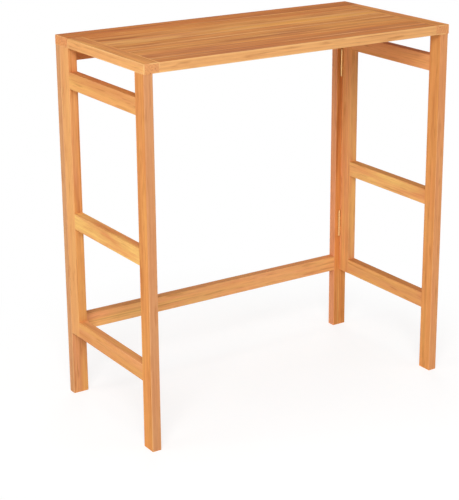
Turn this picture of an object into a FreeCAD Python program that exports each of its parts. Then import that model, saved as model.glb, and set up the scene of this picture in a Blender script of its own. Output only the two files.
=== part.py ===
"""Folding bar table with a hinged top panel and two side frames that swing in under it.

The origin is on the floor at the middle of the table. +X runs to the right along the length,
+Y to the back and +Z up. Lengths are millimetres.
"""
import FreeCAD, Part
import os
import Sketcher

# Driving sizes
SIZES = {
    # whole table
    "table_width": 750,
    "table_depth": 368,
    "table_height": 800,
    # boards
    "board_thickness": 20,
    "top_thickness": 20,
    "leg_width": 35,
    "rung_width": 35,
    "apron_width": 35,
    "edge_round": 1,
    "top_edge_round": 0.5,
    # top
    "rail_width": 55,
    "breadboard_width": 35,
    "seam_gap": 1,
    "slat_tongue_length": 12,
    "slat_tongue_width": 25,
    "slat_tongue_thickness": 7,
    # side frames
    "leg_inset": 2,
    "lower_rung_height": 145,
    "middle_rung_height": 391,
    "upper_rung_drop": 50,
    "swing_clearance": 0.3,
    # joinery
    "tenon_length": 15,
    "tenon_width": 25,
    "tenon_thickness": 8,
    "tenon_clearance": 0.1,
    "dowel_radius": 4,
    "dowel_length": 30,
    "dowel_rise": 12,
    "dowel_inset": 10,
    "dowel_spacing": 170,
    "dowel_chamfer": 0.8,
    "dowel_clearance": 0.05,
    # hinges
    "hinge_length": 64,
    "hinge_inset": 88,
    "top_hinge_offset": 200,
    "leaf_width": 22,
    "leaf_thickness": 1.2,
    "leaf_gap": 1.4,
    "leaf_clearance": 0.3,
    "knuckle_radius": 2.5,
    "knuckle_clearance": 0.3,
    "pin_radius": 1.25,
    "pin_clearance": 0.05,
    "pin_crown": 0.6,
    # hinge screws
    "screw_length": 14,
    "screw_radius": 1.4,
    "screw_head_radius": 3,
    "screw_point_length": 3,
    "screw_point_radius": 0.3,
    "screw_clearance": 0.05,
    "screw_spacing": 22,
    "screw_offset": 13,
    # how far a cut runs past the face that it opens
    "overrun": 2,
}

SLAT_COUNT = 8
KNUCKLE_COUNT = 5

# How far from parallel an edge may be and still run along a direction
PARALLEL_TOLERANCE = 1e-6

LEFT = -1
RIGHT = 1
SIDES = {"left": LEFT, "right": RIGHT}

X_AXIS = FreeCAD.Vector(1, 0, 0)
Y_AXIS = FreeCAD.Vector(0, 1, 0)
Z_AXIS = FreeCAD.Vector(0, 0, 1)

# The origin plane that a board's section is drawn on, for each direction of its grain
SECTION_PLANES = {"x": "YZ_Plane", "y": "XZ_Plane", "z": "XY_Plane"}
AXES = {"x": X_AXIS, "y": Y_AXIS, "z": Z_AXIS}

doc = FreeCAD.newDocument("FoldingBarTable")


class Length:
    """A length kept as an expression on the sheet, so that a sum of sizes stays live."""

    def __init__(self, text):
        self.text = text

    def __add__(self, other):
        return Length(f"({self.text} + {other.text})")

    def __sub__(self, other):
        return Length(f"({self.text} - {other.text})")

    def __neg__(self):
        return Length(f"(-{self.text})")

    def __mul__(self, count):
        return Length(f"({self.text} * {count})")

    def __truediv__(self, count):
        return Length(f"({self.text} / {count})")


def size(name):
    """The named size on the sheet."""
    return Length(f"Sizes.{name}")


def make_sheet():
    """Writes every driving size to the sheet under its own alias."""
    sheet = doc.addObject("Spreadsheet::Sheet", "Sizes")
    for row, (name, value) in enumerate(SIZES.items(), start=1):
        sheet.set(f"A{row}", name)
        sheet.set(f"B{row}", str(value))
        sheet.setAlias(f"B{row}", name)
    doc.recompute()


def place(thing, point, rotation=FreeCAD.Rotation()):
    """Turns a thing and binds its place to the point."""
    thing.Placement = FreeCAD.Placement(FreeCAD.Vector(), rotation)
    for axis, length in zip("xyz", point):
        thing.setExpression(f"Placement.Base.{axis}", length.text)


def middle(span):
    """Halfway between the two ends of a span."""
    low, high = span
    return (low + high) / 2


def around(centre, width):
    """The span of a width that is centred on a place."""
    return centre - width / 2, centre + width / 2


def grown(span, margin):
    """The span with a margin added at both ends."""
    low, high = span
    return low - margin, high + margin


def mirrored(span, side):
    """A span given for the right side, moved to the side that is asked for."""
    low, high = span
    return (low, high) if side == RIGHT else (-high, -low)


def at_side(length, side):
    """A place given for the right side, moved to the side that is asked for."""
    return length if side == RIGHT else -length


def add_box(body, kind, name, low, high):
    """Adds a box to a body, or cuts one out of it, between two corners in the body's own frame."""
    box = body.newObject(f"PartDesign::{kind}Box", name)
    for side, start, end in zip(("Length", "Width", "Height"), low, high):
        box.setExpression(side, (end - start).text)
    place(box, low)


def add_cylinder(body, kind, name, start, direction, radius, length):
    """Adds or cuts a cylinder that starts at a point of the body's own frame."""
    cylinder = body.newObject(f"PartDesign::{kind}Cylinder", name)
    cylinder.setExpression("Radius", radius.text)
    cylinder.setExpression("Height", length.text)
    place(cylinder, start, FreeCAD.Rotation(Z_AXIS, direction))


def add_cone(body, kind, name, start, direction, start_radius, end_radius, length):
    """Adds or cuts a cone that starts at a point of the body's own frame."""
    cone = body.newObject(f"PartDesign::{kind}Cone", name)
    cone.setExpression("Radius1", start_radius.text)
    cone.setExpression("Radius2", end_radius.text)
    cone.setExpression("Height", length.text)
    place(cone, start, FreeCAD.Rotation(Z_AXIS, direction))


def draw_rectangle(body, name, plane, width, height):
    """A rectangle on one of the body's origin planes, centred on its origin."""
    sketch = body.newObject("Sketcher::SketchObject", name)
    support = next(part for part in body.Origin.OriginFeatures if part.Role == plane)
    sketch.AttachmentSupport = [(support, "")]
    sketch.MapMode = "FlatFace"
    corners = [FreeCAD.Vector(x, y, 0) for x, y in ((-1, -1), (1, -1), (1, 1), (-1, 1))]
    for corner, next_corner in zip(corners, corners[1:] + corners[:1]):
        sketch.addGeometry(Part.LineSegment(corner, next_corner), False)
    for line in range(len(corners)):
        sketch.addConstraint(Sketcher.Constraint("Coincident", line, 2, (line + 1) % len(corners), 1))
    for flat, upright in ((0, 1), (2, 3)):
        sketch.addConstraint(Sketcher.Constraint("Horizontal", flat))
        sketch.addConstraint(Sketcher.Constraint("Vertical", upright))
    sketch.addConstraint(Sketcher.Constraint("Symmetric", 0, 1, 1, 2, -1, 1))
    across = sketch.addConstraint(Sketcher.Constraint("DistanceX", 0, 1, 0, 2, 1))
    upward = sketch.addConstraint(Sketcher.Constraint("DistanceY", 1, 1, 1, 2, 1))
    sketch.renameConstraint(across, "width")
    sketch.renameConstraint(upward, "height")
    sketch.setExpression("Constraints.width", width.text)
    sketch.setExpression("Constraints.height", height.text)
    return sketch


class Board:
    """A sawn board with rounded long edges, whose joinery is given in places of the table."""

    def __init__(self, label, spans, grain, rounding):
        self.body = doc.addObject("PartDesign::Body", label)
        self.body.Label = label
        self.label = label
        self.centre = [middle(span) for span in spans]
        self.cuts = 0
        widths = {axis: high - low for axis, (low, high) in zip("xyz", spans)}
        across = [widths[axis] for axis in "xyz" if axis != grain]
        section = draw_rectangle(self.body, f"{label}_section", SECTION_PLANES[grain], *across)
        blank = self.body.newObject("PartDesign::Pad", f"{label}_blank")
        blank.Profile = section
        blank.SideType = "Symmetric"
        blank.setExpression("Length", widths[grain].text)
        doc.recompute()
        edges = self.body.newObject("PartDesign::Fillet", f"{label}_edges")
        edges.Base = (blank, long_edges(blank.Shape, AXES[grain]))
        edges.setExpression("Radius", rounding.text)
        place(self.body, self.centre)

    def local(self, point):
        """A place of the table in the board's own frame."""
        return [length - centre for length, centre in zip(point, self.centre)]

    def next_name(self, kind):
        """A new name for the next piece of joinery."""
        self.cuts += 1
        return f"{self.label}_{kind}_{self.cuts}"

    def tenon(self, *spans):
        """A square tenon between the low and high places along each axis."""
        low, high = zip(*spans)
        add_box(self.body, "Additive", self.next_name("tenon"), self.local(low), self.local(high))

    def mortise(self, *spans):
        """A square recess between the low and high places along each axis."""
        low, high = zip(*spans)
        add_box(self.body, "Subtractive", self.next_name("mortise"), self.local(low), self.local(high))

    def bore(self, start, direction, radius, length):
        """A round hole from a place of the table."""
        name = self.next_name("bore")
        add_cylinder(self.body, "Subtractive", name, self.local(start), direction, radius, length)


def long_edges(shape, direction):
    """The names of the straight edges that run along a direction."""
    names = []
    for number, edge in enumerate(shape.Edges, start=1):
        if edge.tangentAt(edge.FirstParameter).cross(direction).Length < PARALLEL_TOLERANCE:
            names.append(f"Edge{number}")
    return names


make_sheet()

# Places that several pieces share
overrun = size("overrun")
half_width = size("table_width") / 2
half_depth = size("table_depth") / 2
zero = Length("0")
underside = size("table_height") - size("top_thickness")
inner_side = half_width - size("board_thickness")
stile_inner = half_width - size("leg_width")
back_face = half_depth - size("board_thickness")
side_rear = back_face - size("swing_clearance")
stile_front = side_rear - size("leg_width")
leg_front = -half_depth + size("leg_inset")
leg_rear = leg_front + size("leg_width")
leg_top = underside - size("swing_clearance")
rail_front = half_depth - size("rail_width")
panel_rear = rail_front - size("seam_gap")
panel_end = half_width - size("breadboard_width")
slat_width = (panel_rear + half_depth) / SLAT_COUNT
upper_rung_top = underside - size("upper_rung_drop")

back_span = (back_face, half_depth)
side_span = (inner_side, half_width)
top_span = (underside, size("table_height"))
rung_spans = {
    "bottom": (size("lower_rung_height"), size("lower_rung_height") + size("rung_width")),
    "middle": (size("middle_rung_height"), size("middle_rung_height") + size("rung_width")),
    "top": (upper_rung_top - size("rung_width"), upper_rung_top),
}
stretcher_span = rung_spans["bottom"]
apron_span = (underside - size("apron_width"), underside)

# A pin axis lies halfway between its two closed leaves, and the knuckles turn clear of the boards
knuckle_reach = size("knuckle_radius") + size("knuckle_clearance")
leaf_front = size("leaf_gap") / 2
leaf_back = leaf_front + size("leaf_thickness")
pin_x = inner_side - knuckle_reach
pin_y = back_face - leaf_back
leaf_seat = pin_y - leaf_back
hinge_half = size("hinge_length") / 2
hinge_heights = {
    "upper": underside - size("hinge_inset") - hinge_half,
    "lower": size("lower_rung_height") + size("hinge_inset") + hinge_half,
}
top_pin_y = (rail_front + panel_rear) / 2
top_pin_z = underside - leaf_back
screw_rows = [size("screw_spacing") * row for row in (-1, 0, 1)]

tenon_length = size("tenon_length")
tenon_gap = size("tenon_clearance")
dowel_y = middle(back_span)
dowel_places = [size("dowel_spacing") * step for step in (-1, 0, 1)]
stile_dowel = half_width - size("dowel_inset")


def tenon_span(span):
    """The height of a tenon, centred on the board that carries it."""
    return around(middle(span), size("tenon_width"))


def tongue_span(span):
    """The thickness of a tenon, centred on the board that carries it."""
    return around(middle(span), size("tenon_thickness"))


def bore_for_dowel(board, x):
    """The hole for one of the dowels that hold the rear rail."""
    start = (x, dowel_y, underside + size("dowel_rise") - size("dowel_length") - tenon_gap)
    length = size("dowel_length") + tenon_gap * 2
    board.bore(start, Z_AXIS, size("dowel_radius") + size("dowel_clearance"), length)


def bore_for_screw(board, start, direction):
    """The pilot hole for a hinge screw, from the face that the leaf lies on."""
    length = size("screw_length") - size("leaf_thickness") + tenon_gap
    board.bore(start, direction, size("screw_radius") + size("screw_clearance"), length)


def hinge_seat(centre):
    """The stretch of a board that is cut for a hinge, around the hinge's middle."""
    return grown(around(centre, size("hinge_length")), size("leaf_clearance"))


def seat_top_hinges(board, screw_y):
    """The shallow groove for the knuckles of each top hinge, and its pilot holes."""
    for side in SIDES.values():
        centre = at_side(size("top_hinge_offset"), side)
        board.mortise(hinge_seat(centre), around(top_pin_y, knuckle_reach * 2),
                      (underside - overrun, top_pin_z + knuckle_reach))
        for row in screw_rows:
            bore_for_screw(board, (centre + row, screw_y, underside), Z_AXIS)


def make_rear_stile(name, side):
    """An upright of the back frame, from the floor to the rail."""
    spans = (mirrored((stile_inner, half_width), side), back_span, (zero, underside))
    stile = Board(f"rear_stile_{name}", spans, "z", size("edge_round"))
    pocket = mirrored((stile_inner - overrun, stile_inner + tenon_length + tenon_gap), side)
    for span in (stretcher_span, apron_span):
        stile.mortise(pocket, grown(tongue_span(back_span), tenon_gap), grown(tenon_span(span), tenon_gap))
    bore_for_dowel(stile, at_side(stile_dowel, side))
    for height in hinge_heights.values():
        stile.mortise(mirrored(around(pin_x, knuckle_reach * 2), side),
                      (back_face - overrun, pin_y + knuckle_reach), hinge_seat(height))
        for row in screw_rows:
            start = (at_side(pin_x + size("screw_offset"), side), back_face, height + row)
            bore_for_screw(stile, start, Y_AXIS)


def make_cross_rail(label, span):
    """A horizontal board of the back frame, tenoned into both rear stiles."""
    rail = Board(label, ((-stile_inner, stile_inner), back_span, span), "x", size("edge_round"))
    for side in SIDES.values():
        reach = mirrored((stile_inner - overrun, stile_inner + tenon_length), side)
        rail.tenon(reach, tongue_span(back_span), tenon_span(span))
    return rail


def make_rear_rail():
    """The fixed board of the top, over the back frame."""
    spans = ((-half_width, half_width), (rail_front, half_depth), top_span)
    rail = Board("rear_rail", spans, "x", size("top_edge_round"))
    for x in (*dowel_places, stile_dowel, -stile_dowel):
        bore_for_dowel(rail, x)
    seat_top_hinges(rail, top_pin_y + size("screw_offset"))


def slat_span(number):
    """The width of one slat of the panel, counted from the front."""
    return -half_depth + slat_width * number, -half_depth + slat_width * (number + 1)


def slat_tongue(number):
    """The width of the tongue at the ends of one slat."""
    return around(middle(slat_span(number)), size("slat_tongue_width"))


def make_breadboard(name, side):
    """The cross board that holds the slats at one end of the panel."""
    spans = (mirrored((panel_end, half_width), side), (-half_depth, panel_rear), top_span)
    breadboard = Board(f"breadboard_{name}", spans, "y", size("top_edge_round"))
    pocket = mirrored((panel_end - overrun, panel_end + size("slat_tongue_length") + tenon_gap), side)
    thickness = around(middle(top_span), size("slat_tongue_thickness"))
    for number in range(SLAT_COUNT):
        breadboard.mortise(pocket, grown(slat_tongue(number), tenon_gap), grown(thickness, tenon_gap))


def make_slat(number):
    """One long board of the panel, with a tongue at each end."""
    spans = ((-panel_end, panel_end), slat_span(number), top_span)
    slat = Board(f"top_slat_{number + 1}", spans, "x", size("top_edge_round"))
    thickness = around(middle(top_span), size("slat_tongue_thickness"))
    for side in SIDES.values():
        reach = mirrored((panel_end - overrun, panel_end + size("slat_tongue_length")), side)
        slat.tenon(reach, slat_tongue(number), thickness)
    if number == SLAT_COUNT - 1:
        seat_top_hinges(slat, top_pin_y - size("screw_offset"))


def make_front_leg(name, side):
    """The leg at the front of a side frame, from the floor to the panel."""
    across = mirrored(side_span, side)
    leg = Board(f"{name}_front_leg", (across, (leg_front, leg_rear), (zero, leg_top)), "z",
                size("edge_round"))
    pocket = (leg_rear - tenon_length - tenon_gap, leg_rear + overrun)
    for span in rung_spans.values():
        leg.mortise(grown(tongue_span(across), tenon_gap), pocket, grown(tenon_span(span), tenon_gap))


def make_side_stile(name, side):
    """The hinged upright of a side frame, let in for both hinges."""
    across = mirrored(side_span, side)
    spans = (across, (stile_front, side_rear), (size("lower_rung_height"), leg_top))
    stile = Board(f"{name}_side_stile", spans, "z", size("edge_round"))
    pocket = (stile_front - overrun, stile_front + tenon_length + tenon_gap)
    for span in rung_spans.values():
        stile.mortise(grown(tongue_span(across), tenon_gap), pocket, grown(tenon_span(span), tenon_gap))
    for height in hinge_heights.values():
        stile.mortise(grown(across, overrun), (leaf_seat, side_rear + overrun), hinge_seat(height))
        for row in screw_rows:
            start = (at_side(pin_x + size("screw_offset"), side), leaf_seat, height + row)
            bore_for_screw(stile, start, -Y_AXIS)


def make_rung(name, side, level, span):
    """A horizontal board of a side frame, tenoned into the leg and the stile."""
    across = mirrored(side_span, side)
    rung = Board(f"{name}_rung_{level}", (across, (leg_rear, stile_front), span), "y",
                 size("edge_round"))
    for reach in ((leg_rear - tenon_length, leg_rear + overrun),
                  (stile_front - overrun, stile_front + tenon_length)):
        rung.tenon(tongue_span(across), reach, tenon_span(span))


def knuckle_span(number):
    """The stretch of the pin that one knuckle takes, from the lower end of the hinge."""
    pitch = size("hinge_length") / KNUCKLE_COUNT
    return -hinge_half + pitch * number, -hinge_half + pitch * (number + 1)


def make_leaf(label, numbers, point, rotation):
    """A hinge leaf with the knuckles of the given numbers.

    Its own frame has the pin along Z through the origin, the plate running out along +X and the
    board that it is screwed to beyond the plate along +Y.
    """
    body = doc.addObject("PartDesign::Body", label)
    body.Label = label
    add_box(body, "Additive", f"{label}_plate", (zero, leaf_front, -hinge_half),
            (size("leaf_width"), leaf_back, hinge_half))
    half_gap = size("knuckle_clearance") / 2
    for number in range(KNUCKLE_COUNT):
        low, high = knuckle_span(number)
        if number in numbers:
            start = low if number == 0 else low + half_gap
            end = high if number == KNUCKLE_COUNT - 1 else high - half_gap
            add_cylinder(body, "Additive", f"{label}_knuckle_{number}", (zero, zero, start), Z_AXIS,
                         size("knuckle_radius"), end - start)
        else:
            start = low - (overrun if number == 0 else half_gap)
            end = high + (overrun if number == KNUCKLE_COUNT - 1 else half_gap)
            add_box(body, "Subtractive", f"{label}_notch_{number}", (-overrun, leaf_front - overrun, start),
                    (knuckle_reach, leaf_back + overrun, end))
    add_cylinder(body, "Subtractive", f"{label}_pin_bore", (zero, zero, -hinge_half - overrun), Z_AXIS,
                 size("pin_radius") + size("pin_clearance"), size("hinge_length") + overrun * 2)
    for number, row in enumerate(screw_rows, start=1):
        add_cone(body, "Subtractive", f"{label}_countersink_{number}",
                 (size("screw_offset"), leaf_front, row), Y_AXIS,
                 size("screw_head_radius") + size("screw_clearance"),
                 size("screw_radius") + size("screw_clearance"), size("leaf_thickness"))
    place(body, point, rotation)


def make_pin(label, point, rotation):
    """A hinge pin whose rounded ends stand just out of the knuckles."""
    body = doc.addObject("PartDesign::Body", label)
    body.Label = label
    crown = size("pin_crown")
    add_cylinder(body, "Additive", f"{label}_rod", (zero, zero, -hinge_half - crown), Z_AXIS,
                 size("pin_radius"), size("hinge_length") + crown * 2)
    doc.recompute()
    rod = body.Tip
    ends = body.newObject("PartDesign::Fillet", f"{label}_ends")
    ends.Base = (rod, [f"Edge{number}" for number, edge in enumerate(rod.Shape.Edges, start=1)
                       if edge.Closed])
    ends.setExpression("Radius", crown.text)
    place(body, point, rotation)


def make_hinge(name, point, fixed_leaf, fixed_turn, moving_leaf, moving_turn):
    """A butt hinge with outer knuckles on the fixed leaf and inner ones on the moving leaf."""
    outer_knuckles = range(0, KNUCKLE_COUNT, 2)
    inner_knuckles = range(1, KNUCKLE_COUNT, 2)
    make_leaf(f"{name}_{fixed_leaf}_leaf", outer_knuckles, point, fixed_turn)
    make_leaf(f"{name}_{moving_leaf}_leaf", inner_knuckles, point, moving_turn)
    make_pin(f"{name}_pin", point, fixed_turn)


def turned(plate_way, board_way):
    """The turn that points a leaf's plate and its board along two directions of the table."""
    return FreeCAD.Rotation(plate_way, board_way, plate_way.cross(board_way), "XYZ")


def make_screw():
    """The countersunk screw that all the hinges share, from its head up along +Z."""
    body = doc.addObject("PartDesign::Body", "hinge_screw")
    head_depth = size("leaf_thickness")
    point_start = size("screw_length") - size("screw_point_length")
    add_cone(body, "Additive", "hinge_screw_head", (zero, zero, zero), Z_AXIS,
             size("screw_head_radius"), size("screw_radius"), head_depth)
    add_cylinder(body, "Additive", "hinge_screw_shank", (zero, zero, head_depth), Z_AXIS,
                 size("screw_radius"), point_start - head_depth)
    add_cone(body, "Additive", "hinge_screw_point", (zero, zero, point_start), Z_AXIS,
             size("screw_radius"), size("screw_point_radius"), size("screw_point_length"))
    return body


def make_dowel():
    """The dowel that all five places of the rear rail share, from its lower end up along +Z."""
    body = doc.addObject("PartDesign::Body", "dowel")
    add_cylinder(body, "Additive", "dowel_rod", (zero, zero, zero), Z_AXIS, size("dowel_radius"),
                 size("dowel_length"))
    doc.recompute()
    rod = body.Tip
    ends = body.newObject("PartDesign::Chamfer", "dowel_ends")
    ends.Base = (rod, [f"Edge{number}" for number, edge in enumerate(rod.Shape.Edges, start=1)
                       if edge.Closed])
    ends.setExpression("Size", size("dowel_chamfer").text)
    return body


def make_group(label, fastener, placings):
    """One node of like fasteners, each put at its own point and turned its own way."""
    copies = []
    for number, (point, direction) in enumerate(placings, start=1):
        copy = doc.addObject("App::Link", f"{label}_{number}")
        copy.LinkedObject = fastener
        place(copy, point, FreeCAD.Rotation(Z_AXIS, direction))
        copies.append(copy)
    group = doc.addObject("Part::Compound", label)
    group.Label = label
    group.Links = copies


def side_screws(side, head_y, direction):
    """The placings of the screws of both hinges of a side frame, in one leaf of each."""
    x = at_side(pin_x + size("screw_offset"), side)
    return [((x, head_y, height + row), direction)
            for height in hinge_heights.values() for row in screw_rows]


def top_screws(y):
    """The placings of the screws of both top hinges, in one leaf of each."""
    head_z = underside - size("leaf_thickness")
    return [((at_side(size("top_hinge_offset"), side) + row, y, head_z), Z_AXIS)
            for side in SIDES.values() for row in screw_rows]


def make_back_frame():
    """The upright frame at the back and the rail on top of it."""
    for name, side in SIDES.items():
        make_rear_stile(name, side)
    make_cross_rail("rear_stretcher", stretcher_span)
    apron = make_cross_rail("rear_apron", apron_span)
    for x in dowel_places:
        bore_for_dowel(apron, x)
    make_rear_rail()
    dowel_z = underside + size("dowel_rise") - size("dowel_length")
    make_group("rail_dowels", make_dowel(),
               [((x, dowel_y, dowel_z), Z_AXIS) for x in (-stile_dowel, *dowel_places, stile_dowel)])


def make_top_panel():
    """The lifting panel: slats between two breadboard ends."""
    for name, side in SIDES.items():
        make_breadboard(name, side)
    for number in range(SLAT_COUNT):
        make_slat(number)


def make_side_frames():
    """The two frames that swing in under the top."""
    for name, side in SIDES.items():
        make_front_leg(name, side)
        make_side_stile(name, side)
        for level, span in rung_spans.items():
            make_rung(name, side, level, span)


def make_hinges():
    """The four hinges of the side frames, the two of the panel, and their screws."""
    screw = make_screw()
    fixed_head = pin_y + leaf_front
    moving_head = pin_y - leaf_front
    back_screws = []
    for name, side in SIDES.items():
        outward = X_AXIS * side
        for level, height in hinge_heights.items():
            make_hinge(f"{name}_{level}_hinge", (at_side(pin_x, side), pin_y, height),
                       "fixed", turned(outward, Y_AXIS), "moving", turned(outward, -Y_AXIS))
        make_group(f"{name}_frame_screws", screw, side_screws(side, moving_head, -Y_AXIS))
        back_screws += side_screws(side, fixed_head, Y_AXIS)
    make_group("back_frame_screws", screw, back_screws)
    for name, side in SIDES.items():
        make_hinge(f"top_hinge_{name}", (at_side(size("top_hinge_offset"), side), top_pin_y, top_pin_z),
                   "rail", turned(Y_AXIS, Z_AXIS), "panel", turned(-Y_AXIS, Z_AXIS))
    make_group("rail_hinge_screws", screw, top_screws(top_pin_y + size("screw_offset")))
    make_group("panel_hinge_screws", screw, top_screws(top_pin_y - size("screw_offset")))


def finished_pieces():
    """The labelled pieces of the table, without the two fasteners that the groups copy."""
    patterns = ("hinge_screw", "dowel")
    return [thing for thing in doc.Objects
            if thing.TypeId in ("PartDesign::Body", "Part::Compound") and thing.Label not in patterns]


def check_document(pieces):
    """Stops the run if any object failed or any piece has no sound shape."""
    for thing in doc.Objects:
        if {"Invalid", "Error"} & set(thing.State):
            raise RuntimeError(f"{thing.Name} failed: {thing.State}")
    for piece in pieces:
        if piece.Shape.isNull() or not piece.Shape.isValid() or not piece.Shape.Solids:
            raise RuntimeError(f"{piece.Label} has no sound shape")


def main():
    """Builds the table and writes each piece to its own file."""
    make_back_frame()
    make_top_panel()
    make_side_frames()
    make_hinges()
    doc.recompute()
    pieces = finished_pieces()
    check_document(pieces)
    os.makedirs("parts", exist_ok=True)
    for piece in pieces:
        piece.Shape.exportStep(f"parts/{piece.Label}.step")
    print(len(pieces), "pieces written")


main()
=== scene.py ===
"""The looks of a folding bar table: oiled hardwood boards, brass hinges and their screws.

Lengths are metres. The origin is on the floor under the middle of the table, +X runs to the right,
+Y to the back and +Z up.
"""

import math
import random

import bmesh
import bpy
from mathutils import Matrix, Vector


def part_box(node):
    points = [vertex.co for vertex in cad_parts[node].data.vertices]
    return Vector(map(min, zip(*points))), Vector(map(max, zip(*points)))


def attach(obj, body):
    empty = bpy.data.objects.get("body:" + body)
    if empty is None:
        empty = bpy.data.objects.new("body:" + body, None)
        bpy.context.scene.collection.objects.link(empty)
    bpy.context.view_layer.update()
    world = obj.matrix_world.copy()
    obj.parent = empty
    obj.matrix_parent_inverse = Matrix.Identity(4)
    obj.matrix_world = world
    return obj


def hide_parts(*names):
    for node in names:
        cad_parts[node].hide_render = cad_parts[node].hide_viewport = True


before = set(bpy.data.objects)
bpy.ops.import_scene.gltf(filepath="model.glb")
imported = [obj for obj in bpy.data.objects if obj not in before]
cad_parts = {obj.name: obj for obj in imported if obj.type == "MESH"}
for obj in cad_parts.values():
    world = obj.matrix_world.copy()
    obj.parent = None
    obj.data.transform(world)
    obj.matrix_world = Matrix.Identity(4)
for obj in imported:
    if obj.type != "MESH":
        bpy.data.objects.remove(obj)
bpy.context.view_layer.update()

# Where the random draws start
SEED = 41

# The camera's place in metres, its turn and dip in degrees, and its lens and sensor in millimetres
CAMERA_PLACE = (-1.692, -2.520, 1.353)
CAMERA_TURN = 34.25
CAMERA_DIP = 17.40
CAMERA_LENS = 104.9
CAMERA_SHIFT = (-0.071, -0.080)
SENSOR_WIDTH = 36

# Soft studio light: how far round and how high each lamp is, in degrees, and how bright, in watts
LAMPS = {
    "key": {"turn": -37, "rise": 33, "power": 255},
    "side": {"turn": -98, "rise": 10, "power": 100},
    "above": {"turn": 0, "rise": 90, "power": 78},
    "fill": {"turn": 40, "rise": 15, "power": 30},
    "back": {"turn": 150, "rise": 15, "power": 90},
}
LAMP_DISTANCE = 6.0
LAMP_WIDTH = 3.0
LAMP_AIM = Vector((0, 0, 0.42))

# How much the white room lights the table, beside the lamps
ROOM_LIGHT = 0.10

FLOOR_WIDTH = 400
# The floor's grey for the light it sends up, the weaker one that the camera sees, and the glow added to it
FLOOR_LEVEL = 0.86
SEEN_FLOOR_LEVEL = 0.30
FLOOR_GLOW = 0.765
# How far from the table the floor that the camera sees starts to fade, and is plain white
FLOOR_FADE = (0.40, 0.82)

# Which way the grain runs in a board, 0 for X to 2 for Z, by the first of these words that is in its name
GRAIN_BY_WORD = {
    "rear_stile": 2,
    "front_leg": 2,
    "side_stile": 2,
    "dowels": 2,
    "rung": 1,
    "breadboard": 1,
    "rear_": 0,
    "top_slat": 0,
}


def srgb(red, green, blue):
    """A colour written as a screen shows it, from 0 to 255, as the light that it stands for."""
    linear = []
    for level in (red, green, blue):
        share = level / 255
        linear.append(share / 12.92 if share <= 0.04045 else ((share + 0.055) / 1.055) ** 2.4)
    return (*linear, 1)


def grey(level):
    """A grey that sends back this share of the light."""
    return (level, level, level, 1)


def blended(first, second, share):
    """A colour on the way from one to another, or beyond it where the share is over 1."""
    return tuple(a + (b - a) * share for a, b in zip(first, second))


# The tones of light and brown oiled wood: bands, body, yellow figure, pink drift and end grain
LIGHT_WOOD = {
    "deep": srgb(214, 138, 80),
    "honey": srgb(240, 167, 101),
    "straw": srgb(250, 198, 116),
    "rose": srgb(240, 165, 124),
    "end": srgb(244, 180, 124),
}
BROWN_WOOD = {
    "deep": srgb(174, 96, 44),
    "honey": srgb(218, 125, 60),
    "straw": srgb(244, 160, 74),
    "rose": srgb(190, 122, 80),
    "end": srgb(242, 172, 118),
}
# The paler tone painted on some boards' sides toward the lamps, as painted light, and the lighter tone of
# all edges, which is partly real wear and partly a painted highlight
PAINTED_LIT_SIDE_TONE = srgb(246, 184, 120)
WORN_AND_HIGHLIT_EDGE_TONE = srgb(253, 204, 136)

# How light each board is: the brown wood at 0, the light wood at 1, and lighter still above it.
# The low tones of the top's slats and breadboards are partly the wood's own and partly painted shade,
# which makes the top darker than the sides; the right rear stile's low tone is painted shade under the top,
# and the tones above 1 of the rear stretcher and the right rungs are painted light
BOARD_TONES = {
    "left_front_leg": 0.68,
    "right_front_leg": 0.82,
    "rear_rail": 0.00,
    "rear_stile_left": 0.72,
    "rear_stile_right": 0.58,
    "rear_stretcher": 1.32,
    "left_side_stile": 0.72,
    "left_rung_top": 0.95,
    "left_rung_middle": 1.10,
    "right_rung_bottom": 0.98,
    "right_rung_middle": 1.25,
    "right_rung_top": 1.15,
    "breadboard_left": 0.50,
    "breadboard_right": 0.35,
    "top_slat_8": 0.16,
    "top_slat_7": 0.38,
    "top_slat_6": 0.72,
    "top_slat_5": 0.36,
    "top_slat_4": 0.34,
    "top_slat_3": 0.34,
    "top_slat_2": 0.10,
    "top_slat_1": 0.08,
}
# The tone of every other board
PLAIN_TONE = 0.95

# How strongly a board shows bands, pink drift, yellow figure, lines and lighter edges, which are partly
# real wear and partly a painted highlight, and the edges' width
PLAIN_LOOK = {"bands": 0.70, "rose": 0.30, "figure": 0.35, "lines": 0.45,
              "worn_and_highlit": 0.50, "worn_and_highlit_width": 0.0014}
TOP_LOOK = {"bands": 0.90, "rose": 0.25, "figure": 0.50, "lines": 0.70,
            "worn_and_highlit": 0.80, "worn_and_highlit_width": 0.0030}

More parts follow.
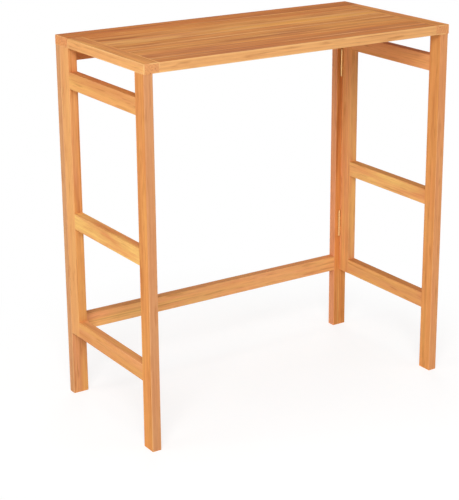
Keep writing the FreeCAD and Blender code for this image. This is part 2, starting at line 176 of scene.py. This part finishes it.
# How other boards differ from the plain ones, by the first of these words that is in a board's name
LOOKS_BY_WORD = {
    "front_leg": {"bands": 0.50, "rose": 0.10, "figure": 0.25},
    # The right rear stile's strong deep bands are partly wood grain and partly painted shade under the top
    "rear_stile_right": {"bands": 1.00, "rose": 0.00, "figure": 0.30, "lines": 0.80},
    "rear_stile_left": {"rose": 1.00, "lines": 0.60, "worn_and_highlit": 0.30},
    "side_stile": {"rose": 0.60, "lines": 0.60, "worn_and_highlit": 0.30},
    "stretcher": {"bands": 0.30, "rose": 0.50, "figure": 0.40, "lines": 0.40},
    "left_rung_top": {"rose": 0.40, "figure": 0.40, "lines": 0.25},
    "right_rung_top": {"rose": 0.50, "figure": 0.20, "lines": 0.20},
    "left_rung_bottom": {"rose": 0.60, "lines": 0.30},
    "right_rung_bottom": {"rose": 0.55, "figure": 0.45, "lines": 0.25},
    "left_rung_middle": {"rose": 0.15, "figure": 1.00, "lines": 0.20},
    "right_rung_middle": {"rose": 0.25, "figure": 0.75, "lines": 0.25},
    "breadboard": TOP_LOOK,
    "top_slat_1": {**TOP_LOOK, "rose": 0.75, "figure": 0.25, "worn_and_highlit": 0.60},
    "top_slat_2": {**TOP_LOOK, "rose": 0.65, "figure": 0.25},
    "top_slat_5": {**TOP_LOOK, "rose": 0.10},
    "top_slat_6": {**TOP_LOOK, "rose": 0.10, "figure": 0.60, "worn_and_highlit": 0.40},
    "top_slat_7": {**TOP_LOOK, "rose": 0.05, "worn_and_highlit": 0.40},
    "top_slat_8": {**TOP_LOOK, "rose": 0.05, "worn_and_highlit": 0.40},
    "top_slat": TOP_LOOK,
    "rear_rail": {**TOP_LOOK, "figure": 0.25, "worn_and_highlit": 0.35},
}

# Boards with one side painted another tone for the light that falls on it: top faces painted darker as
# painted shade, and sides toward the lamps painted a paler, pinker tone as painted light. The side's axis,
# 0 for X to 2 for Z, and which of the two it is
PAINTED_LIGHT_AND_SHADE_SIDES = {
    # Sides toward the lamps, painted a paler, pinker tone: painted light
    "left_front_leg": {"axis": 1, "side": "low", "tint": srgb(222, 163, 122), "share": 0.60},
    "right_front_leg": {"axis": 1, "side": "low", "tint": LIGHT_WOOD["rose"], "share": 0.40},
    "rear_stile_left": {"axis": 0, "side": "low", "tint": srgb(216, 164, 120), "share": 0.70},
    "rear_stile_right": {"axis": 0, "side": "low", "tint": LIGHT_WOOD["rose"], "share": 0.80},
    # Top faces, painted darker: painted shade
    "rear_stretcher": {"axis": 2, "side": "high", "tint": BROWN_WOOD["rose"], "share": 0.50},
    "right_rung": {"axis": 2, "side": "high", "tint": BROWN_WOOD["deep"], "share": 0.50},
    "left_rung_middle": {"axis": 2, "side": "high", "tint": BROWN_WOOD["honey"], "share": 0.12},
    "left_rung_top": {"axis": 2, "side": "high", "tint": BROWN_WOOD["deep"], "share": 0.40},
    # Sides toward the lamps, painted paler: painted light
    "left_side_stile": {"axis": 0, "side": "low", "tint": PAINTED_LIT_SIDE_TONE, "share": 0.60},
    "top_slat_1": {"axis": 1, "side": "low", "tint": PAINTED_LIT_SIDE_TONE, "share": 0.95},
    "breadboard_left": {"axis": 0, "side": "low", "tint": PAINTED_LIT_SIDE_TONE, "share": 0.80},
}

# A long streak of another tone: its middle along and across the board, half its length and half its width
STREAKS = {
    "top_slat_7": {"along": -0.296, "across": -0.004, "half_length": 0.050, "half_width": 0.012,
                   "tint": BROWN_WOOD["deep"]},
    "top_slat_6": {"along": 0.130, "across": -0.004, "half_length": 0.240, "half_width": 0.016,
                   "tint": srgb(255, 182, 86)},
}
# Where a streak starts and where it shows fully, as shares of its half sizes, and how ragged its rim is
STREAK_RIM = (1.1, 0.5)
STREAK_RAGGED = 2.0

# How long each pattern of the wood is along the grain, how wide across it, and how much detail it has
PATTERNS = {
    "wander": {"length": 0.450, "width": 0.80000, "detail": 1},
    "ripple": {"length": 0.100, "width": 0.01800, "detail": 2},
    "bands": {"length": 0.500, "width": 0.01100, "detail": 3},
    "drift": {"length": 0.300, "width": 0.01800, "detail": 2},
    "figure": {"length": 0.120, "width": 0.02000, "detail": 3},
    "lines": {"length": 0.300, "width": 0.00300, "detail": 2},
    "fibres": {"length": 0.030, "width": 0.00080, "detail": 3},
    "pores": {"length": 0.007, "width": 0.00045, "detail": 1},
    "wear": {"length": 0.090, "width": 0.04000, "detail": 2},
    "smudges": {"length": 0.070, "width": 0.00700, "detail": 2},
}
# The middle value of the noise, and how far it may be shifted so that no two boards look alike
NOISE_MIDDLE = 0.5
NOISE_SHIFT = 40

# The pattern that each mark of the wood comes from, and the noise where it starts and where it shows fully
MARKS = {
    "bands": ("bands", 0.58, 0.38),
    "rosy": ("drift", 0.42, 0.66),
    "golden": ("drift", 0.46, 0.30),
    "wear_and_highlight_runs": ("drift", 0.42, 0.52),
    "figure": ("figure", 0.30, 0.66),
    "smudges": ("smudges", 0.58, 0.72),
    "dark_lines": ("lines", 0.58, 0.76),
    "pale_lines": ("lines", 0.44, 0.26),
    "fibres": ("fibres", 0.62, 0.30),
    "pores": ("pores", 0.66, 0.76),
}

# The strengths that are the same on every board, and the least share of the pink drift
SHARES = {
    "least_rose": 0.35,
    "streak": 0.70,
    "smudges": 0.35,
    "late_wood": 0.16,
    "end_rings": 0.10,
    "pores": 0.25,
    "pale_lines": 0.70,
    "fibres": 0.20,
    "end": 0.70,
}

# The growth rings: how far apart, how they bend, how far off the tree's middle lies, and their dark part
RING_SPACING = 0.0060
RING_WANDER = 0.018
RING_RIPPLE = 0.0016
PITH_DISTANCE = (0.035, 0.130)
LATE_WOOD = (0.20, 0.90)

# How deep the painted light and shade of a side and the look of end grain reach, so that each stays on its
# own face
PAINTED_SIDE_DEPTH = 0.0012
END_DEPTH = 0.0004
# How much of its share a side's painted light and shade has at least, and what the figure's noise adds to
# that
PAINTED_SIDE_SHARES = (0.75, 0.50)

# The wood's roughness, height and gloss, and how the first two change with what is at each point
WOOD_ROUGHNESS = 0.60
ROUGHNESS_SHARES = {"fibre_noise": 0.12, "pores": 0.20, "end": 0.12, "wear_noise": 0.08, "worn_and_highlit": -0.08}
HEIGHT_SHARES = {"fibre_noise": 0.45, "late_wood": -0.20, "pores": -0.80}
WOOD_RELIEF = 0.00006
WOOD_GLOSS = 0.01

# The tones of the brass, clean and tarnished: lighter on the hinges, duller on the screws
BRASS_TONES = {
    "hinge_brass": (srgb(242, 204, 140), srgb(208, 168, 106)),
    "screw_brass": (srgb(222, 180, 116), srgb(176, 136, 82)),
}

# The brass's spots of tarnish and its scratches: their sizes, and how rough and deep they make it
BRASS_PATTERNS = {
    "tarnish": {"size": (0.0038, 0.0038, 0.0038), "detail": 4},
    "scratches": {"size": (0.0002, 0.0002, 0.0014), "detail": 2},
}
TARNISH_STARTS = (0.45, 0.75)
TARNISH_SHARE = 0.65
BRASS_ROUGHNESS = 0.34
BRASS_ROUGHNESS_SHARES = {"tarnish": 0.16, "scratches": 0.10}
BRASS_HEIGHT_SHARES = {"tarnish": 0.50, "scratches": 1.00}
BRASS_RELIEF = 0.00001


def by_word(table, node, plain=None):
    """The first entry of a table whose word is in a board's name."""
    return next((entry for word, entry in table.items() if word in node), plain)


class Value:
    """One output of a node. Sums and products of values add their Math nodes."""

    def __init__(self, graph, socket):
        self.graph = graph
        self.socket = socket

    def output(self, name):
        """Another output of the same node."""
        return Value(self.graph, self.socket.node.outputs[name])

    def __add__(self, other):
        return self.graph.math("ADD", self, other)

    def __sub__(self, other):
        return self.graph.math("SUBTRACT", self, other)

    def __mul__(self, other):
        return self.graph.math("MULTIPLY", self, other)

    def __truediv__(self, other):
        return self.graph.math("DIVIDE", self, other)

    def __rsub__(self, other):
        return self.graph.math("SUBTRACT", other, self)

    __radd__ = __add__


class Graph:
    """A tree of nodes, with one method that adds any kind of node."""

    def __init__(self, tree):
        self.tree = tree
        tree.nodes.clear()

    def node(self, kind, settings=None, inputs=None, output=0):
        """Adds a node, applies its settings, fills or links its sockets and gives one of its outputs."""
        made = self.tree.nodes.new(kind)
        for name, setting in (settings or {}).items():
            setattr(made, name, setting)
        for key, given in (inputs or {}).items():
            for item in given if isinstance(given, list) else [given]:
                if isinstance(item, Value):
                    self.tree.links.new(item.socket, made.inputs[key])
                else:
                    made.inputs[key].default_value = item
        return Value(self, made.outputs[output]) if made.outputs else made

    def math(self, operation, *values):
        """A Math node on values or plain numbers."""
        return self.node("ShaderNodeMath", {"operation": operation}, dict(enumerate(values)))

    def least(self, first, second):
        """The smaller of two values."""
        return self.math("MINIMUM", first, second)

    def most(self, first, second):
        """The larger of two values."""
        return self.math("MAXIMUM", first, second)

    def rise(self, value, start, end):
        """0 before the start, 1 after the end, and smooth between them. The end may come first."""
        return self.node("ShaderNodeMapRange", {"interpolation_type": "SMOOTHSTEP"},
                         {"Value": value, "From Min": start, "From Max": end})

    def mix(self, share, first, second):
        """One colour turning into another as the share goes from 0 to 1."""
        return self.node("ShaderNodeMix", {"data_type": "RGBA"},
                         {"Factor": share, "A": first, "B": second}, output="Result")

    def vector(self, *parts):
        """Three values as one vector."""
        return self.node("ShaderNodeCombineXYZ", inputs=dict(enumerate(parts)))

    def place(self):
        """Where a point lies on its object."""
        return self.node("ShaderNodeTexCoord", output="Object")

    def noise(self, point, detail):
        """Soft noise, from 0 to 1, with features about one unit wide."""
        return self.node("ShaderNodeTexNoise", inputs={"Vector": point, "Scale": 1.0, "Detail": detail})

    def noise_of_size(self, size, detail):
        """Soft noise whose features have a size along each axis."""
        steps = self.node("ShaderNodeVectorMath", {"operation": "DIVIDE"}, {0: self.place(), 1: size})
        return self.noise(steps, detail)

    def bump(self, height, relief):
        """A normal that follows a height, from 0 to 1, and how far that height reaches."""
        return self.node("ShaderNodeBump", inputs={"Height": height, "Distance": relief, "Strength": 1.0})


def weighed(parts, shares, start=0.0):
    """A sum of values, each times its share."""
    return sum((parts[name] * share for name, share in shares.items()), start)


def new_finish(name):
    """A new material and its empty graph."""
    material = bpy.data.materials.new(name)
    material.use_nodes = True
    return material, Graph(material.node_tree)


def close_finish(graph, shader):
    """Ends a material's graph in its shader."""
    graph.node("ShaderNodeOutputMaterial", inputs={"Surface": shader})


class BoardSurface:
    """The places on one board, and the patterns that run along its grain."""

    def __init__(self, graph, grain, corners, draw):
        low, high = corners
        self.graph = graph
        self.draw = draw
        point = graph.node("ShaderNodeSeparateXYZ", inputs={0: graph.place()})
        parts = [point.output(name) for name in "XYZ"]
        order = [grain, (grain + 1) % 3, (grain + 2) % 3]
        self.parts = [parts[axis] - (low[axis] + high[axis]) / 2 for axis in order]
        self.halves = [(high[axis] - low[axis]) / 2 for axis in order]
        self.from_side = {"low": [part - start for part, start in zip(parts, low)],
                          "high": [end - part for part, end in zip(parts, high)]}

    def pattern(self, name):
        """Noise whose features have a length along the grain and a width across it."""
        sizes = PATTERNS[name]
        steps = [sizes["length"], sizes["width"], sizes["width"]]
        shifts = [self.draw.uniform(-NOISE_SHIFT, NOISE_SHIFT) for _ in steps]
        places = [part / step + shift for part, step, shift in zip(self.parts, steps, shifts)]
        return self.graph.noise(self.graph.vector(*places), sizes["detail"])

    def depths(self):
        """How deep a point lies under the nearest end, and under the two pairs of long faces."""
        return [half - self.graph.math("ABSOLUTE", part) for part, half in zip(self.parts, self.halves)]

    def edge_distance(self):
        """How far a point of the surface lies from the nearest edge of the board."""
        end, side, face = self.depths()
        graph = self.graph
        return graph.most(graph.least(side, face), graph.least(graph.most(side, face), end))


def late_wood(surface, patterns):
    """The dark part of the growth rings, which run round the middle of the tree somewhere off the board."""
    graph = surface.graph
    across, through = surface.parts[1:]
    turn = surface.draw.uniform(0, math.tau)
    distance = surface.draw.uniform(*PITH_DISTANCE)
    wander = (patterns["wander"] - NOISE_MIDDLE) * RING_WANDER
    ripple = (patterns["ripple"] - NOISE_MIDDLE) * RING_RIPPLE
    over = across + wander - distance * math.cos(turn)
    deep = through + wander - distance * math.sin(turn)
    radius = graph.math("SQRT", over * over + deep * deep) + ripple
    within = graph.math("FRACT", radius / RING_SPACING)
    return graph.rise(within, *LATE_WOOD) * graph.rise(within, 1.0, LATE_WOOD[1])


def wood_marks(surface, look):
    """How far each mark of the wood shows at a point, from 0 to 1."""
    graph = surface.graph
    patterns = {name: surface.pattern(name) for name in PATTERNS}
    marks = {name: graph.rise(patterns[pattern], *limits) for name, (pattern, *limits) in MARKS.items()}
    width = look["worn_and_highlit_width"]
    edge = surface.edge_distance() + (patterns["wear"] - NOISE_MIDDLE) * width
    return {
        **marks,
        "late_wood": late_wood(surface, patterns),
        "end": graph.rise(surface.depths()[0], END_DEPTH, END_DEPTH / 2),
        # Edges painted lighter: partly real wear, partly a painted highlight along the eased edges
        "worn_and_highlit": graph.rise(edge, width, 0) * marks["wear_and_highlight_runs"],
        "figure_noise": patterns["figure"],
        "fibre_noise": patterns["fibres"],
        "wear_noise": patterns["wear"],
    }


def painted_light_and_shade_layer(surface, name, marks):
    """The painted light and shade on one side of a board, where it has one: a top face painted darker, a
    side toward the lamps painted paler.
    """
    side = by_word(PAINTED_LIGHT_AND_SHADE_SIDES, name)
    if not side:
        return []
    from_side = surface.from_side[side["side"]][side["axis"]]
    start, share = PAINTED_SIDE_SHARES
    uneven = marks["figure_noise"] * share + start
    on_side = surface.graph.rise(from_side, PAINTED_SIDE_DEPTH, PAINTED_SIDE_DEPTH / 2)
    return [(on_side * uneven * side["share"], side["tint"])]


def streak_layer(surface, name, marks):
    """The tone of a board's long streak, where it has one, with a ragged rim."""
    if name not in STREAKS:
        return []
    graph = surface.graph
    streak = STREAKS[name]
    along, across = surface.parts[:2]
    over = (along - streak["along"]) / streak["half_length"]
    beside = (across - streak["across"]) / streak["half_width"]
    ragged = (marks["figure_noise"] - NOISE_MIDDLE) * STREAK_RAGGED
    away = graph.math("SQRT", over * over + beside * beside) + ragged
    return [(graph.rise(away, *STREAK_RIM) * SHARES["streak"], streak["tint"])]


def wood_colour(surface, name, tone, look, marks):
    """The colour of a board, laid on from its broad bands to its finest fibres and its lighter edges,
    partly real wear and partly a painted highlight, with painted light and shade on some sides.
    """
    colour = {part: blended(BROWN_WOOD[part], LIGHT_WOOD[part], tone) for part in LIGHT_WOOD}
    rosy = marks["rosy"] * (1 - SHARES["least_rose"]) + SHARES["least_rose"]
    layers = [
        (marks["bands"] * look["bands"], colour["deep"]),
        (rosy * look["rose"], colour["rose"]),
        (marks["golden"] * look["figure"], colour["straw"]),
        (marks["figure"] * look["figure"], colour["straw"]),
        *painted_light_and_shade_layer(surface, name, marks),
        *streak_layer(surface, name, marks),
        (marks["smudges"] * SHARES["smudges"], BROWN_WOOD["deep"]),
        (marks["end"] * SHARES["end"], colour["end"]),
        (marks["end"] * marks["late_wood"] * SHARES["end_rings"], BROWN_WOOD["honey"]),
        (marks["late_wood"] * SHARES["late_wood"] + marks["pores"] * SHARES["pores"], colour["deep"]),
        (marks["dark_lines"] * look["lines"], BROWN_WOOD["deep"]),
        (marks["pale_lines"] * look["lines"] * SHARES["pale_lines"], LIGHT_WOOD["straw"]),
        (marks["fibres"] * SHARES["fibres"], BROWN_WOOD["deep"]),
        # Lighter edges: partly real wear, partly a painted highlight
        (marks["worn_and_highlit"] * look["worn_and_highlit"], WORN_AND_HIGHLIT_EDGE_TONE),
    ]
    base = colour["honey"]
    for share, tint in layers:
        base = surface.graph.mix(share, base, tint)
    return base


def wood_finish(name, grain, corners, tone, look, seed):
    """Oiled hardwood: bands, drifting tones, growth rings, fibres, pores, end grain, lighter edges that are
    partly real wear and partly a painted highlight, and painted light and shade on some sides.
    """
    material, graph = new_finish(f"oiled_wood_{name}")
    surface = BoardSurface(graph, grain, corners, random.Random(seed))
    marks = wood_marks(surface, look)
    close_finish(graph, graph.node("ShaderNodeBsdfPrincipled", inputs={
        "Base Color": wood_colour(surface, name, tone, look, marks),
        "Roughness": weighed(marks, ROUGHNESS_SHARES, WOOD_ROUGHNESS),
        "Normal": graph.bump(weighed(marks, HEIGHT_SHARES), WOOD_RELIEF),
        "Specular IOR Level": WOOD_GLOSS}))
    return material


def brass_finish(name):
    """Rolled and plated brass: a warm yellow with faint tarnish and fine scratches."""
    material, graph = new_finish(name)
    marks = {mark: graph.noise_of_size(**pattern) for mark, pattern in BRASS_PATTERNS.items()}
    tarnished = graph.rise(marks["tarnish"], *TARNISH_STARTS) * TARNISH_SHARE
    close_finish(graph, graph.node("ShaderNodeBsdfPrincipled", inputs={
        "Base Color": graph.mix(tarnished, *BRASS_TONES[name]),
        "Metallic": 1.0,
        "Roughness": weighed(marks, BRASS_ROUGHNESS_SHARES, BRASS_ROUGHNESS),
        "Normal": graph.bump(weighed(marks, BRASS_HEIGHT_SHARES), BRASS_RELIEF)}))
    return material


def finish_boards():
    """Gives every board, and the dowels, wood of its own."""
    boards = sorted(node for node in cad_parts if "hinge" not in node and "screws" not in node)
    for number, node in enumerate(boards):
        tone = BOARD_TONES.get(node, PLAIN_TONE)
        look = {**PLAIN_LOOK, **by_word(LOOKS_BY_WORD, node, {})}
        grain = by_word(GRAIN_BY_WORD, node)
        material = wood_finish(node, grain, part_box(node), tone, look, SEED + number)
        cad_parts[node].material_slots[0].material = material


def finish_hinges(brass):
    """Gives the leaves and pins of the hinges their brass."""
    for node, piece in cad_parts.items():
        if "hinge" in node:
            piece.material_slots[0].material = brass


# A hinge screw: a countersunk head with a cross recess, a core, a thread and a point
SCREW = {
    "Head Radius": 0.0028,
    "Head Depth": 0.0012,
    "Core Radius": 0.0010,
    "Tip Radius": 0.0002,
    "Length": 0.0140,
    "Point Length": 0.0030,
    "Recess Length": 0.0034,
    "Recess Width": 0.0007,
    "Recess Depth": 0.0007,
    "Thread Radius": 0.0004,
    "Thread Turns": 9.0,
}
# How many sides the head and the thread have, and how many steps each turn of the thread takes
HEAD_SIDES = 24
THREAD_SIDES = 4
THREAD_STEPS = 14
# Half the step between the numbers of two stations along a screw
STATION_MARGIN = 0.5
QUARTER_TURN = math.pi / 2
# Corner points closer than this are one point
WELD = 1e-6

# The CAD screws of each body
SCREW_NODES = {
    "back_frame": ["back_frame_screws", "rail_hinge_screws"],
    "top_panel": ["panel_hinge_screws"],
    "left_frame": ["left_frame_screws"],
    "right_frame": ["right_frame_screws"],
}


def solids_of(node):
    """The corner points of each separate solid of a CAD node."""
    mesh = bmesh.new()
    mesh.from_mesh(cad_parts[node].data)
    bmesh.ops.remove_doubles(mesh, verts=mesh.verts, dist=WELD)
    waiting = set(mesh.verts)
    solids = []
    while waiting:
        to_visit = [waiting.pop()]
        found = []
        while to_visit:
            point = to_visit.pop()
            found.append(point.co.copy())
            for link in point.link_edges:
                other = link.other_vert(point)
                if other in waiting:
                    waiting.remove(other)
                    to_visit.append(other)
        solids.append(found)
    mesh.free()
    return solids


def screw_place(points):
    """The middle of one screw's head, and the way that its point faces."""
    low = Vector(min(point[axis] for point in points) for axis in range(3))
    high = Vector(max(point[axis] for point in points) for axis in range(3))
    middle = (low + high) / 2
    long_axis = max(range(3), key=lambda axis: high[axis] - low[axis])

    def girth(point):
        """How far a point lies from the screw's middle line, squared."""
        return sum((point[axis] - middle[axis]) ** 2 for axis in range(3) if axis != long_axis)

    head = middle.copy()
    head[long_axis] = max(points, key=girth)[long_axis]
    return head, (middle - head).normalized()


def screw_places(node):
    """The places of all the screws of a CAD node, always in the same order."""
    places = [screw_place(points) for points in solids_of(node)]
    return sorted(places, key=lambda place: tuple(place[0]))


def screw_shape(graph, sizes):
    """One screw along +Z, with the face of its head on the ground plane."""
    index = graph.node("GeometryNodeInputIndex")
    profile = graph.node("GeometryNodeCurvePrimitiveCircle", inputs={
        "Resolution": HEAD_SIDES, "Radius": 1.0})
    stations = [(0.0, sizes["Head Radius"]),
                (sizes["Head Depth"], sizes["Core Radius"]),
                (sizes["Length"] - sizes["Point Length"], sizes["Core Radius"]),
                (sizes["Length"], sizes["Tip Radius"])]

    def by_station(values):
        """A number that differs from station to station."""
        total = values[0]
        for number, value in enumerate(values[1:], start=1):
            total = graph.math("COMPARE", index, number, STATION_MARGIN) * (value - values[0]) + total
        return total

    line = graph.node("GeometryNodeMeshLine", inputs={"Count": len(stations)})
    height = by_station([place for place, radius in stations])
    line = graph.node("GeometryNodeSetPosition", inputs={
        "Geometry": line, "Position": graph.vector(0.0, 0.0, height)})
    line = graph.node("GeometryNodeMeshToCurve", inputs={"Mesh": line})
    core = graph.node("GeometryNodeCurveToMesh", inputs={
        "Curve": line, "Profile Curve": profile, "Fill Caps": True,
        "Scale": by_station([radius for place, radius in stations])})

    blade = graph.node("GeometryNodeMeshCube", inputs={
        "Size": graph.vector(sizes["Recess Length"], sizes["Recess Width"], sizes["Recess Depth"] * 2)})
    crossed = graph.node("GeometryNodeTransform", inputs={
        "Geometry": blade, "Rotation": (0, 0, QUARTER_TURN)})
    headed = graph.node("GeometryNodeMeshBoolean", {"operation": "DIFFERENCE", "solver": "EXACT"},
                        {"Mesh 1": core, "Mesh 2": [blade, crossed]})

    start = sizes["Head Depth"] * 2
    spiral = graph.node("GeometryNodeCurveSpiral", inputs={
        "Resolution": THREAD_STEPS, "Rotations": sizes["Thread Turns"],
        "Start Radius": sizes["Core Radius"], "End Radius": sizes["Core Radius"],
        "Height": sizes["Length"] - sizes["Point Length"] - start})
    spiral = graph.node("GeometryNodeTransform", inputs={
        "Geometry": spiral, "Translation": graph.vector(0.0, 0.0, start)})
    ridge = graph.node("GeometryNodeCurvePrimitiveCircle", inputs={
        "Resolution": THREAD_SIDES, "Radius": sizes["Thread Radius"]})
    thread = graph.node("GeometryNodeCurveToMesh", inputs={
        "Curve": spiral, "Profile Curve": ridge, "Fill Caps": True})
    return graph.node("GeometryNodeJoinGeometry", inputs={"Geometry": [headed, thread]})


def screw_tree():
    """Geometry nodes that put a screw at each point, with its recess turned at random."""
    tree = bpy.data.node_groups.new("hinge_screws", "GeometryNodeTree")
    tree.interface.new_socket("Places", in_out="INPUT", socket_type="NodeSocketGeometry")
    for name in SCREW:
        tree.interface.new_socket(name, in_out="INPUT", socket_type="NodeSocketFloat")
    tree.interface.new_socket("Seed", in_out="INPUT", socket_type="NodeSocketInt")
    tree.interface.new_socket("Finish", in_out="INPUT", socket_type="NodeSocketMaterial")
    tree.interface.new_socket("Screws", in_out="OUTPUT", socket_type="NodeSocketGeometry")
    graph = Graph(tree)
    given = graph.node("NodeGroupInput")
    sizes = {name: given.output(name) for name in SCREW}
    way = graph.node("GeometryNodeInputNamedAttribute", {"data_type": "FLOAT_VECTOR"}, {"Name": "way"})
    aimed = graph.node("FunctionNodeAlignRotationToVector", {"axis": "Z"}, {"Vector": way})
    turn = graph.node("FunctionNodeRandomValue", {"data_type": "FLOAT"},
                      {"Min": 0.0, "Max": math.tau, "Seed": given.output("Seed")}, output="Value")
    spin = graph.node("FunctionNodeAxisAngleToRotation", inputs={"Axis": (0, 0, 1), "Angle": turn})
    turned = graph.node("FunctionNodeRotateRotation", {"rotation_space": "LOCAL"},
                        {"Rotation": aimed, "Rotate By": spin})
    screws = graph.node("GeometryNodeInstanceOnPoints", inputs={
        "Points": given, "Instance": screw_shape(graph, sizes), "Rotation": turned})
    whole = graph.node("GeometryNodeRealizeInstances", inputs={"Geometry": screws})
    finished = graph.node("GeometryNodeSetMaterial", inputs={
        "Geometry": whole, "Material": given.output("Finish")})
    graph.node("NodeGroupOutput", inputs={"Screws": finished})
    return tree


def points_object(name, places):
    """A mesh with one point for each screw, which remembers the way that it faces."""
    mesh = bpy.data.meshes.new(name)
    mesh.from_pydata([place for place, way in places], [], [])
    ways = mesh.attributes.new("way", "FLOAT_VECTOR", "POINT")
    for number, (place, way) in enumerate(places):
        ways.data[number].vector = way
    points = bpy.data.objects.new(name, mesh)
    bpy.context.scene.collection.objects.link(points)
    return points


def set_inputs(modifier, tree, values):
    """Sets the inputs of a geometry nodes modifier by the name that the tree gives them."""
    for item in tree.interface.items_tree:
        if item.in_out == "INPUT" and item.name in values:
            modifier[item.identifier] = values[item.name]


def make_screws(tree, name, body, nodes, brass, seed):
    """The screws of one body, as one mesh that stands for its CAD screws."""
    points = points_object(f"{name}_places", [place for node in nodes for place in screw_places(node)])
    modifier = points.modifiers.new("screws", "NODES")
    modifier.node_group = tree
    set_inputs(modifier, tree, {**SCREW, "Seed": seed, "Finish": brass})
    evaluated = points.evaluated_get(bpy.context.evaluated_depsgraph_get())
    mesh = bpy.data.meshes.new_from_object(evaluated)
    mesh.name = name
    points.modifiers.remove(modifier)
    bpy.data.objects.remove(points)
    screws = bpy.data.objects.new(name, mesh)
    bpy.context.scene.collection.objects.link(screws)
    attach(screws, body)
    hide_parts(*nodes)


def make_all_screws(brass):
    """The screws of the back frame, the panel and the two side frames."""
    tree = screw_tree()
    for seed, (body, nodes) in enumerate(SCREW_NODES.items(), start=SEED):
        make_screws(tree, f"{body}_cross_screws", body, nodes, brass, seed)


def seen_or_mirrored(graph):
    """1 for a ray from the camera, or one that a shiny or clear surface sends on."""
    path = graph.node("ShaderNodeLightPath")
    bounced = graph.most(path.output("Is Glossy Ray"), path.output("Is Transmission Ray"))
    return graph.most(path, bounced)


def make_room():
    """A white room that lights the table softly and shows behind it."""
    world = bpy.data.worlds.new("studio")
    world.use_nodes = True
    bpy.context.scene.world = world
    graph = Graph(world.node_tree)
    level = ROOM_LIGHT + seen_or_mirrored(graph) * (1 - ROOM_LIGHT)
    sky = graph.node("ShaderNodeBackground", inputs={"Color": grey(1), "Strength": level})
    graph.node("ShaderNodeOutputWorld", inputs={"Surface": sky})


def floor_finish():
    """Pale floor that shows the table's shadow, turns white further off, and hides nothing from below."""
    material, graph = new_finish("pale_floor")
    bounce = graph.node("ShaderNodeBsdfDiffuse", inputs={"Color": grey(FLOOR_LEVEL)})
    shade = graph.node("ShaderNodeBsdfDiffuse", inputs={"Color": grey(SEEN_FLOOR_LEVEL)})
    glow = graph.node("ShaderNodeEmission", inputs={"Color": grey(FLOOR_GLOW), "Strength": 1.0})
    near = graph.node("ShaderNodeAddShader", inputs={0: shade, 1: glow})
    white = graph.node("ShaderNodeEmission", inputs={"Color": grey(1), "Strength": 1.0})
    distance = graph.node("ShaderNodeVectorMath", {"operation": "LENGTH"}, {0: graph.place()}, "Value")
    faded = graph.rise(distance, *FLOOR_FADE)
    shown = graph.node("ShaderNodeMixShader", inputs={0: faded, 1: near, 2: white})
    lit = graph.node("ShaderNodeMixShader", inputs={0: seen_or_mirrored(graph), 1: bounce, 2: shown})
    clear = graph.node("ShaderNodeBsdfTransparent")
    below = graph.node("ShaderNodeNewGeometry", output="Backfacing")
    close_finish(graph, graph.node("ShaderNodeMixShader", inputs={0: below, 1: lit, 2: clear}))
    return material


def make_floor():
    """A wide floor under the table."""
    half = FLOOR_WIDTH / 2
    corners = [(-half, -half, 0), (half, -half, 0), (half, half, 0), (-half, half, 0)]
    mesh = bpy.data.meshes.new("floor")
    mesh.from_pydata(corners, [], [range(len(corners))])
    mesh.materials.append(floor_finish())
    floor = bpy.data.objects.new("floor", mesh)
    bpy.context.scene.collection.objects.link(floor)


def make_lamp(name, turn, rise, power):
    """A soft square lamp, aimed at the middle of the table."""
    light = bpy.data.lights.new(name, "AREA")
    light.size = LAMP_WIDTH
    light.energy = power
    lamp = bpy.data.objects.new(name, light)
    bpy.context.scene.collection.objects.link(lamp)
    across = math.radians(turn)
    upward = math.radians(rise)
    level = math.cos(upward)
    back = Vector((math.sin(across) * level, -math.cos(across) * level, math.sin(upward)))
    lamp.location = LAMP_AIM + back * LAMP_DISTANCE
    lamp.rotation_euler = (-back).to_track_quat("-Z", "Y").to_euler()


def make_camera():
    """The camera, level across, from the front and left of the table and above it."""
    camera = bpy.data.cameras.new("camera")
    camera.sensor_width = SENSOR_WIDTH
    camera.lens = CAMERA_LENS
    camera.shift_x, camera.shift_y = CAMERA_SHIFT
    viewer = bpy.data.objects.new("camera", camera)
    bpy.context.scene.collection.objects.link(viewer)
    viewer.location = CAMERA_PLACE
    viewer.rotation_euler = (math.radians(90 - CAMERA_DIP), 0, math.radians(-CAMERA_TURN))
    bpy.context.scene.camera = viewer


def make_studio():
    """The room, the floor, the lamps and the camera."""
    make_room()
    make_floor()
    for name, lamp in LAMPS.items():
        make_lamp(name, **lamp)
    make_camera()
    bpy.context.scene.view_settings.view_transform = "Standard"


finish_boards()
finish_hinges(brass_finish("hinge_brass"))
make_all_screws(brass_finish("screw_brass"))
make_studio()
